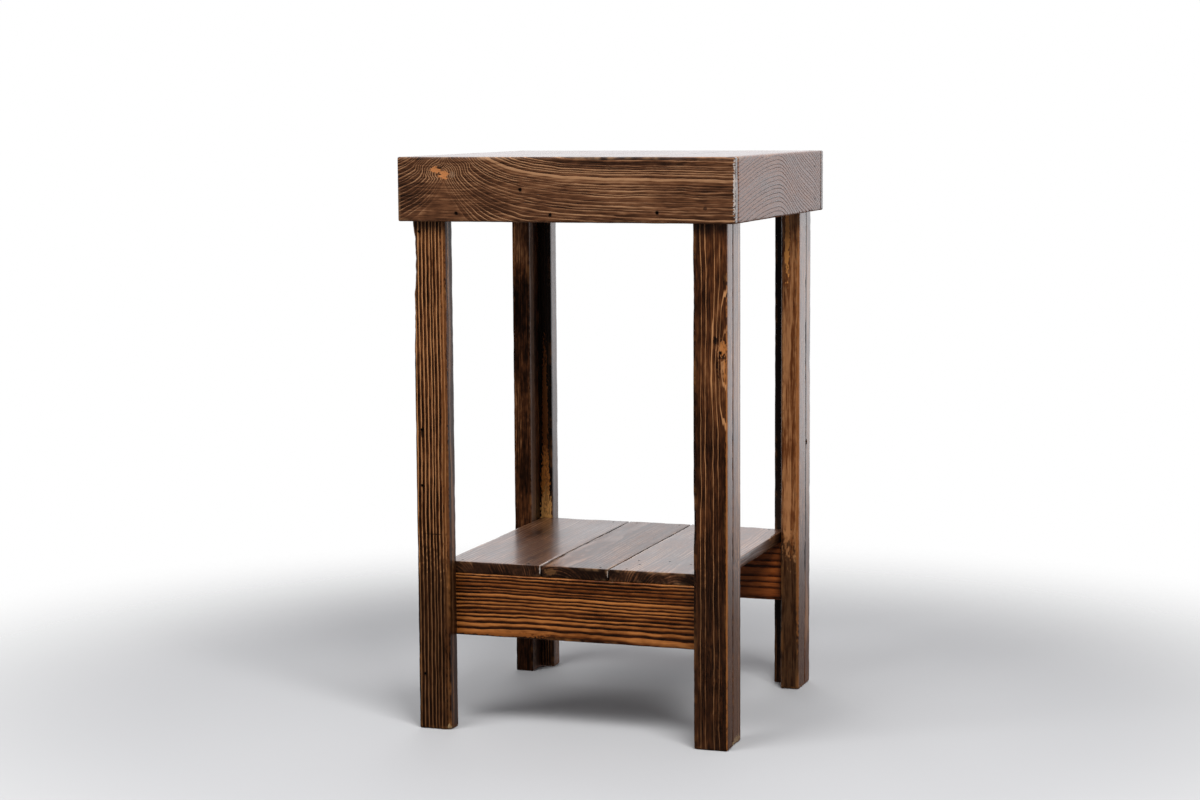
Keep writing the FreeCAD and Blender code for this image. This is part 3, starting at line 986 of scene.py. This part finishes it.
for side, sign in (("left", -1), ("right", 1)):
    frontLegSide = dict(
        node=f"front_{side}_leg_side", slot="leg_wood", grain="z", face="x", outer=sign,
        seed=7 + sign, stain=umberStain, heart=(30, -6 * sign), ringWidth=3.4, wander=2.5,
        # the left strip's ground is darker, painted shade on its face into the table, and the right
        # strip's lighter, painted light on the table's right side
        lineFade=0.3, blotch=0.8, ease=2, coat=0.53 + 0.47 * sign, ground=0.23 + 0.19 * sign,
        patches=(
            # painted shade, darker towards the foot
            ((-240, 0, 0), (150, 60, 60), tint(30, 15, 7), 0.5, 0.6),
            ((-306, -4, 11 * sign), (3.5, 14, 5), bareWood, 1.5, 0.9),
        ),
        bites=((-311, -4, 11 * sign, (6, 12, 6), 1.6),),
    )
    makeBoard(frontLegSide)

backLeftLegFace = dict(
    node="back_left_leg_face", slot="leg_wood", grain="z", face="y", seed=11, ease=2,
    stain=umberStain, heart=(24, -14), ringWidth=3.6, wander=3.0, lineFade=0.3,
    patches=(
        ((0, 0, -11), (330, 40, 6), shadowBrown, 0.1, 0.95),
        ((-10, 10, -11), (110, 4, 6), tint(142, 82, 34), 0.7, 0.75),
        ((-84, 10, -11), (50, 6, 6), tint(222, 142, 66), 0.6, 0.85),
        ((-120, 10.5, -11), (36, 8, 6), tint(255, 188, 108), 0.5, 0.9),
        ((-90, 11, -11), (40, 3, 6), tint(104, 58, 26), 2.4, 0.55),
    ),
)
makeBoard(backLeftLegFace)

backRightLegFace = dict(
    node="back_right_leg_face", slot="leg_wood", grain="z", face="y", seed=13, ease=1.2,
    stain=umberStain, heart=(-24, -14), ringWidth=3.6, wander=3.0, lineFade=0.3,
    edgeHoles=((-19, -7, 3.4, 6, 1),),
    patches=(
        ((0, 0, -11), (330, 40, 6), shadowBrown, 0.1, 0.95),
        ((-21, 19, -6.5), (7, 4, 3.6), knotAndShadeDark, 0.6, 0.9),
    ),
)
makeBoard(backRightLegFace)

backLeftLegSide = dict(
    node="back_left_leg_side", slot="leg_wood", grain="z", face="x", outer=-1, seed=15, ease=1.2,
    coat=0.25, stain=umberStain, heart=(-8, 18), ringWidth=3.2, wander=3.0, ground=0.24,
    contrast=0.4, blotch=1.2, lineFade=0.1, mottle=0.8, fibre=0.9,
    stainAndShadeSpots=(
        ((140, -15, 0), (62, 6, 20), 0.5, -0.22),
        ((23, -15, 0), (40, 6, 20), 0.6, 0.14),
        ((-104, -15, 0), (26, 6, 20), 0.6, 0.12),
    ),
    patches=(((0, -8, 11), (330, 9, 3), tint(132, 100, 76), 0.4, 0.55),),
)
makeBoard(backLeftLegSide)

backRightLegSide = dict(
    node="back_right_leg_side", slot="leg_wood", grain="z", face="x", seed=17, ease=1.4,
    stain=umberStain, heart=(-30, -6), ringWidth=3.6, wander=4.0, ground=0.58, contrast=0.5,
    blotch=1.0, fibre=1.6, lineFade=0.4, mottle=0.8, early=0.14, lateWood=(0.5, 0.85, 0.95),
    stainAndShadeSpots=(((-124, -15, 0), (9, 6, 16), 0.1, 0.16), ((60, -15, 0), (50, 6, 16), 0.5, -0.1)),
    bites=((-311, -14, 0, (5, 6, 14), 1.3),),
    patches=(
        ((0, -15, 0), (320, 6, 12), tint(164, 88, 34), 0.9, 0.2),
        ((0, -15, -11), (320, 6, 3), tint(44, 24, 14), 0.8, 0.5),
        # painted shade, darker towards the foot
        ((-240, 0, 0), (120, 60, 60), tint(34, 18, 9), 0.5, 0.78),
        ((222, -15, -4), (48, 6, 3), tint(255, 172, 88), 0.9, 0.65),
        ((0, -15, 9.5), (300, 6, 2.5), tint(186, 116, 58), 0.4, 0.5),
    ),
)
makeBoard(backRightLegSide)
print("legs made")

# Shelf rails

shelfRailFront = dict(
    node="shelf_rail_front", slot="rail_wood", grain="x", face="y", outer=-1, seed=21, cell=2.4,
    stain=orangeStain, heart=(-41, 18), ringWidth=3.6, wander=2.5, ripple=0.9, uneven=0.5,
    lineFade=0.75, lateWood=(0.22, 0.75, 0.93), contrast=0.83, ground=0.1, fibre=0.5, ridge=0.3,
    # the darker top edge is painted shade under the front ends of the shelf planks
    coatGrain=0.3, stainAndShadeSpots=(((0, 35, -9.5), (190, 5, 6), 0.4, -0.3),),
    patches=(((-100, -31, -9.5), (70, 3, 5), tint(196, 116, 52), 0.9, 0.5),),
)
makeBoard(shelfRailFront)

shelfRailBack = dict(
    node="shelf_rail_back", slot="rail_wood", grain="x", face="y", seed=22, cell=2.4,
    stain=redStain, heart=(-70, 12), ringWidth=8.0, wander=2.0, ripple=0.7, uneven=0.5,
    lineFade=0.8, lateWood=(0.05, 0.5, 0.86), contrast=0.6, ground=0.26, fibre=0.6, ridge=0.3,
    coatGrain=0.3,
)
makeBoard(shelfRailBack)
print("rails made")

# Shelf planks, top planks and the cleats under them

shelfPlanks = {
    "left": dict(
        ground=0.34, contrast=0.4, coat=0.78,
        patches=(
            ((-142, 56, 6.5), (18, 1, 1.4), nearWhiteFleck, 1.2, 0.8),
            ((-156, 56, 1), (2, 1, 6), nearWhiteFleck, 0.8, 0.75),
        ),
    ),
    "middle": dict(
        ground=0.28, contrast=0.35, coat=0.54,
        patches=(
            ((-156.5, -28, 0), (4, 8, 4), tint(140, 98, 58), 0.6, 0.4),
            ((-156, 38.5, 1), (2, 0.8, 5), nearWhiteFleck, 0.8, 0.7),
        ),
    ),
    "right": dict(
        ground=0.36, contrast=0.5, coat=0.76,
        oldHoles=((-95, -43.4, 1.3, 4), (-118, -35, 1.3, 4), (-91, -9, 1.3, 4), (-102, 19, 1.3, 4)),
    ),
}

for number, (part, own) in enumerate(shelfPlanks.items()):
    shelfPlank = dict(
        node=f"shelf_plank_{part}", slot="shelf_wood", grain="y", face="z", seed=31 + number, ease=0.7,
        heart=(-60 + 40 * number, -30), ringWidth=3.0, wander=5.0, blotch=0.9, lineFade=0.1,
        # the darker narrow faces are painted shade in the seams between the planks
        coatRoughness=0.22, coatGrain=0.12, sideTone=-0.3, endTone=-0.3, **own,
    )
    makeBoard(shelfPlank)

for number, part in enumerate(("left", "mid_left", "mid_right", "right")):
    topPlank = dict(
        node=f"top_plank_{part}", slot="top_wood", grain="y", face="z", seed=41 + number, ease=1.2,
        heart=(-64 + 44 * number, -34), ringWidth=3.0, wander=5.0, contrast=0.5, ground=0.3,
        # the darker narrow faces are painted shade in the seams between the planks
        lineFade=0.2, sideTone=-0.3,
    )
    makeBoard(topPlank)

for number, part in enumerate(("front", "back")):
    topCleat = dict(
        node=f"top_cleat_{part}", slot="cleat_wood", grain="x", face="z", outer=-1, seed=51 + number,
        ease=1, heart=(14, 20), ringWidth=2.8,
    )
    makeBoard(topCleat)
print("planks and cleats made")

# Steel of the nails and screws

steel = {
    "nail_steel": {"bright": tint(58, 52, 48), "dull": tint(24, 20, 18), "roughness": 0.45},
    "screw_steel": {"bright": tint(150, 146, 138), "dull": tint(92, 84, 72), "roughness": 0.35},
}
dullSpots = {"perMm": 0.9, "seed": 3, "detail": 3.0, "edge": (0.4, 0.62), "rougher": 0.3}


def steelMaterial(slot):
    look = steel[slot]
    material = bpy.data.materials.new(slot)
    material.use_nodes = True
    tree = material.node_tree
    shader = tree.nodes["Principled BSDF"]
    place = addNode(tree, "TexCoord").outputs["Object"]
    inMm = vectorCalc(tree, "MULTIPLY", place, (1 / mm, 1 / mm, 1 / mm))
    spots = grainNoise(tree, inMm, (dullSpots["perMm"],) * 3, dullSpots["seed"], dullSpots["detail"])
    share = softStep(tree, spots, *dullSpots["edge"])
    feed(tree, shader.inputs["Base Color"], mixColour(tree, share, look["bright"], look["dull"]))
    rough = calc(tree, "MULTIPLY_ADD", share, dullSpots["rougher"], look["roughness"])
    feed(tree, shader.inputs["Roughness"], rough)
    shader.inputs["Metallic"].default_value = 1
    return material


for slot, nodes in (("nail_steel", nailGroups), ("screw_steel", ("rail_screws", "cleat_screws"))):
    material = steelMaterial(slot)
    for node in nodes:
        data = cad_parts[node].data
        data.materials.clear()
        data.materials.append(material)
print("nails and screws finished")
